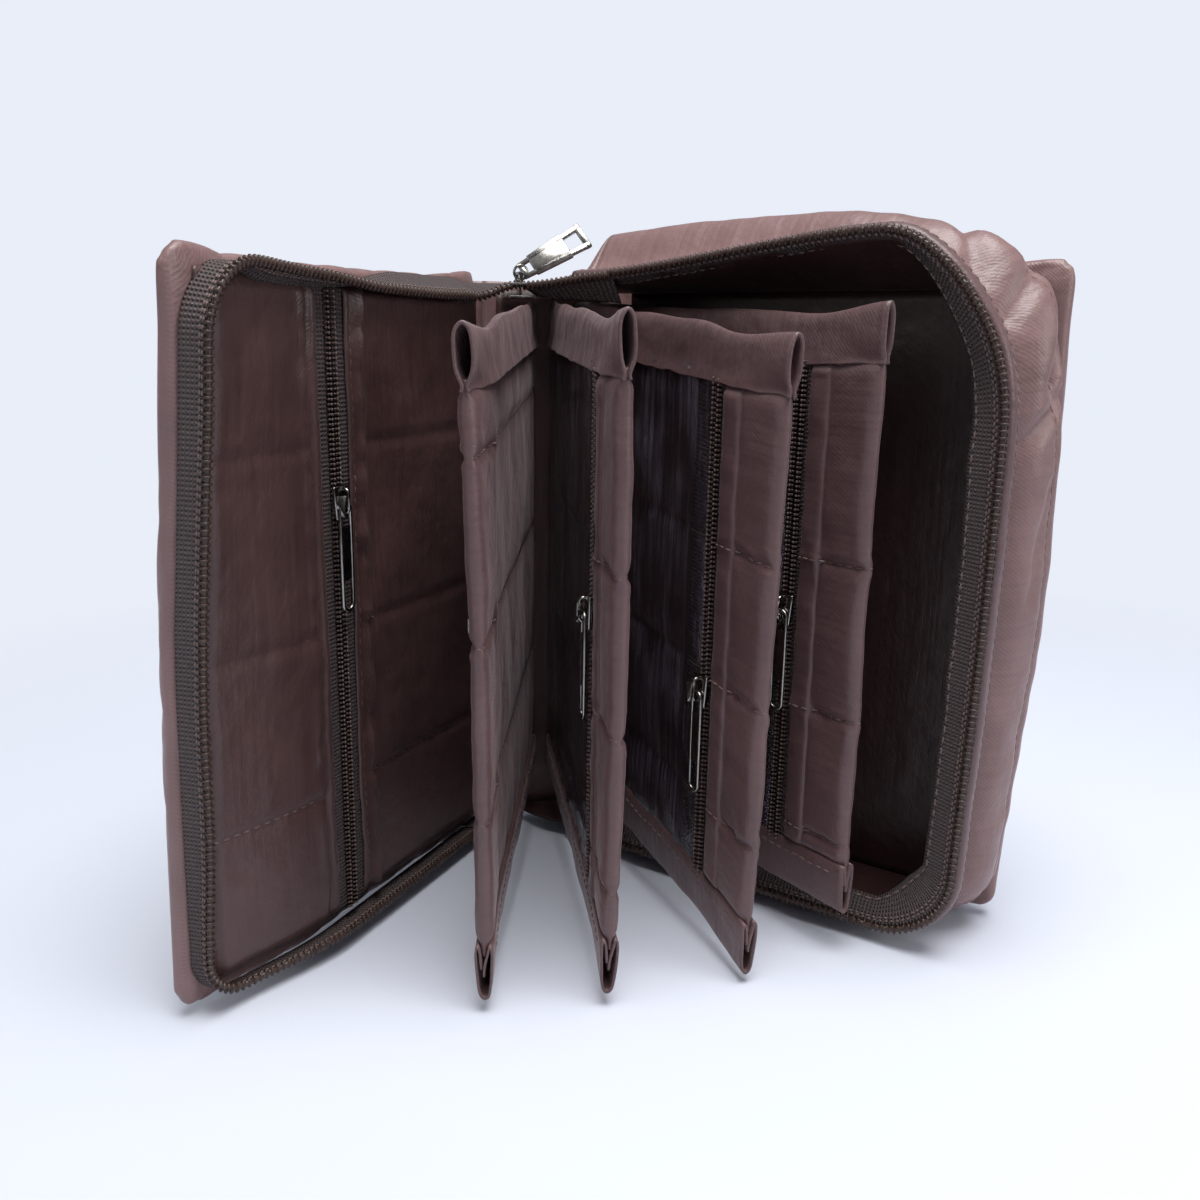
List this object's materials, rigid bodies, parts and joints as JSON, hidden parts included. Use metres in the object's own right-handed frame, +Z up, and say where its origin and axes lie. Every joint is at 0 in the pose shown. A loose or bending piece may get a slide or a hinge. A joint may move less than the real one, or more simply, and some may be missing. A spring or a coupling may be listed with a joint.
{
  "type": "jewelry organizer pouch",
  "caption": "Zip-around padded satin pouch that opens like a book: zipped clear-window leaves on the spine, a zipped cover pocket and a deep gusseted back half for jewelry.",
  "frame": {"origin": "middle of the back cover's lower edge, on the surface the pouch stands on", "axes": "+X from the back cover's fold to its free edge, +Y out through the back cover, +Z up"},
  "size_m": [0.1747, 0.1795, 0.2022],
  "materials": {
    "satin": "dusty mauve-brown satin with a fine twill",
    "lining": "dark brown satin lining",
    "zip_tape": "dark brown woven zip tape with nylon coil",
    "clear_film": "clear glossy vinyl film",
    "foam": "padding sheet",
    "nickel": "polished nickel plating"
  },
  "bodies": {
    "back_half": {"back_cover_outer": "satin", "back_cover_foam": "foam", "back_lining": "lining", "gusset_band": "satin", "gusset_lining": "lining", "rim_binding": "satin", "main_zip_back": "zip_tape"},
    "spine": {"spine_outer": "satin", "spine_lining": "lining", "back_fold": "satin", "front_fold": "satin"},
    "front_half": {"front_cover_outer": "satin", "front_cover_foam": "foam", "front_pocket_sheet": "lining", "front_lining_outer": "lining", "front_lining_inner": "lining", "front_zip_outer": "zip_tape", "front_zip_inner": "zip_tape", "main_zip_front": "zip_tape"},
    "leaf_1": {"leaf_1_back": "satin", "leaf_1_window": "clear_film", "leaf_1_edge_band": "satin", "leaf_1_top_sleeve": "satin", "leaf_1_bottom_binding": "satin", "leaf_1_zip_outer": "zip_tape", "leaf_1_zip_inner": "zip_tape"},
    "leaf_2": {"leaf_2_back": "satin", "leaf_2_window": "clear_film", "leaf_2_edge_band": "satin", "leaf_2_top_sleeve": "satin", "leaf_2_bottom_binding": "satin", "leaf_2_zip_outer": "zip_tape", "leaf_2_zip_inner": "zip_tape"},
    "leaf_3": {"leaf_3_back": "satin", "leaf_3_window": "clear_film", "leaf_3_edge_band": "satin", "leaf_3_top_sleeve": "satin", "leaf_3_bottom_binding": "satin", "leaf_3_zip_outer": "zip_tape", "leaf_3_zip_inner": "zip_tape"},
    "leaf_4": {"leaf_4_back": "satin", "leaf_4_window": "clear_film", "leaf_4_edge_band": "satin", "leaf_4_top_sleeve": "satin", "leaf_4_bottom_binding": "satin", "leaf_4_zip_outer": "zip_tape", "leaf_4_zip_inner": "zip_tape"},
    "leaf_1_slide": {"leaf_1_slider": "nickel"},
    "leaf_1_pull": {"leaf_1_puller": "nickel"},
    "leaf_2_slide": {"leaf_2_slider": "nickel"},
    "leaf_2_pull": {"leaf_2_puller": "nickel"},
    "leaf_3_slide": {"leaf_3_slider": "nickel"},
    "leaf_3_pull": {"leaf_3_puller": "nickel"},
    "leaf_4_slide": {"leaf_4_slider": "nickel"},
    "leaf_4_pull": {"leaf_4_puller": "nickel"},
    "front_slide": {"front_slider": "nickel"},
    "front_pull": {"front_puller": "nickel"},
    "main_slide": {"main_slider": "nickel"},
    "main_pull": {"main_link": "nickel", "main_puller": "nickel"}
  },
  "joints": [
    {"name": "spine_fold", "type": "hinge", "parent": "back_half", "child": "spine", "pos_m": [-0.07, 0, 0], "axis": [0, 0, -1], "range_deg": [-40, 50]},
    {"name": "cover_fold", "type": "hinge", "parent": "spine", "child": "front_half", "pos_m": [-0.10227, -0.03846, 0], "axis": [0, 0, -1], "range_deg": [-40, 50]},
    {"name": "leaf_1_turn", "type": "hinge", "parent": "spine", "child": "leaf_1", "pos_m": [-0.08769, -0.02824, 0], "axis": [0, 0, -1], "range_deg": [-18.5, 23.12]},
    {"name": "leaf_2_turn", "type": "hinge", "parent": "spine", "child": "leaf_2", "pos_m": [-0.08255, -0.02211, 0], "axis": [0, 0, -1], "range_deg": [-5.5, 6.88]},
    {"name": "leaf_3_turn", "type": "hinge", "parent": "spine", "child": "leaf_3", "pos_m": [-0.0774, -0.01598, 0], "axis": [0, 0, -1], "range_deg": [-12.5, 10]},
    {"name": "leaf_4_turn", "type": "hinge", "parent": "spine", "child": "leaf_4", "pos_m": [-0.07226, -0.00985, 0], "axis": [0, 0, -1], "range_deg": [-26.88, 21.5]},
    {"name": "leaf_1_zip_run", "type": "slide", "parent": "leaf_1", "child": "leaf_1_slide", "axis": [0, 0, 1], "range_m": [-0.052, 0.059]},
    {"name": "leaf_1_puller_swing", "type": "hinge", "parent": "leaf_1_slide", "child": "leaf_1_pull", "pos_m": [-0.0434, -0.10912, 0.095], "axis": [-0.5225, 0.8526, 0], "range_deg": [0, 60]},
    {"name": "leaf_2_zip_run", "type": "slide", "parent": "leaf_2", "child": "leaf_2_slide", "axis": [0, 0, 1], "range_m": [-0.057, 0.054]},
    {"name": "leaf_2_puller_swing", "type": "hinge", "parent": "leaf_2_slide", "child": "leaf_2_pull", "pos_m": [-0.0212, -0.09095, 0.0995], "axis": [-0.7009, 0.7133, 0], "range_deg": [0, 35]},
    {"name": "leaf_3_zip_run", "type": "slide", "parent": "leaf_3", "child": "leaf_3_slide", "axis": [0, 0, 1], "range_m": [-0.032, 0.079]},
    {"name": "leaf_3_puller_swing", "type": "hinge", "parent": "leaf_3_slide", "child": "leaf_3_pull", "pos_m": [0.00011, -0.06593, 0.075], "axis": [-0.866, 0.5, 0], "range_deg": [0, 47]},
    {"name": "leaf_4_zip_run", "type": "slide", "parent": "leaf_4", "child": "leaf_4_slide", "axis": [0, 0, 1], "range_m": [-0.053, 0.058]},
    {"name": "leaf_4_puller_swing", "type": "hinge", "parent": "leaf_4_slide", "child": "leaf_4_pull", "pos_m": [0.01365, -0.04334, 0.096], "axis": [-0.9483, 0.3173, 0], "range_deg": [0, 31]},
    {"name": "front_zip_run", "type": "slide", "parent": "front_half", "child": "front_slide", "axis": [0, 0, 1], "range_m": [-0.084, 0.05]},
    {"name": "front_puller_swing", "type": "hinge", "parent": "front_slide", "child": "front_pull", "pos_m": [-0.07931, -0.1197, 0.126], "axis": [0.1736, -0.9848, 0], "range_deg": [0, 60]},
    {"name": "main_zip_run", "type": "slide", "parent": "spine", "child": "main_slide", "axis": [0.766, -0.6428, 0], "range_m": [0, 0.012]},
    {"name": "main_puller_swing", "type": "hinge", "parent": "main_slide", "child": "main_pull", "pos_m": [-0.08684, -0.03547, 0.18915], "axis": [0.766, -0.6428, 0], "range_deg": [-20, 115]}
  ],
  "couplings": [
    {"joint": "cover_fold", "follows": "spine_fold", "ratio": 1},
    {"joint": "leaf_1_turn", "follows": "spine_fold", "ratio": 0.4625},
    {"joint": "leaf_2_turn", "follows": "spine_fold", "ratio": 0.1375},
    {"joint": "leaf_3_turn", "follows": "spine_fold", "ratio": -0.25},
    {"joint": "leaf_4_turn", "follows": "spine_fold", "ratio": -0.5375}
  ]
}
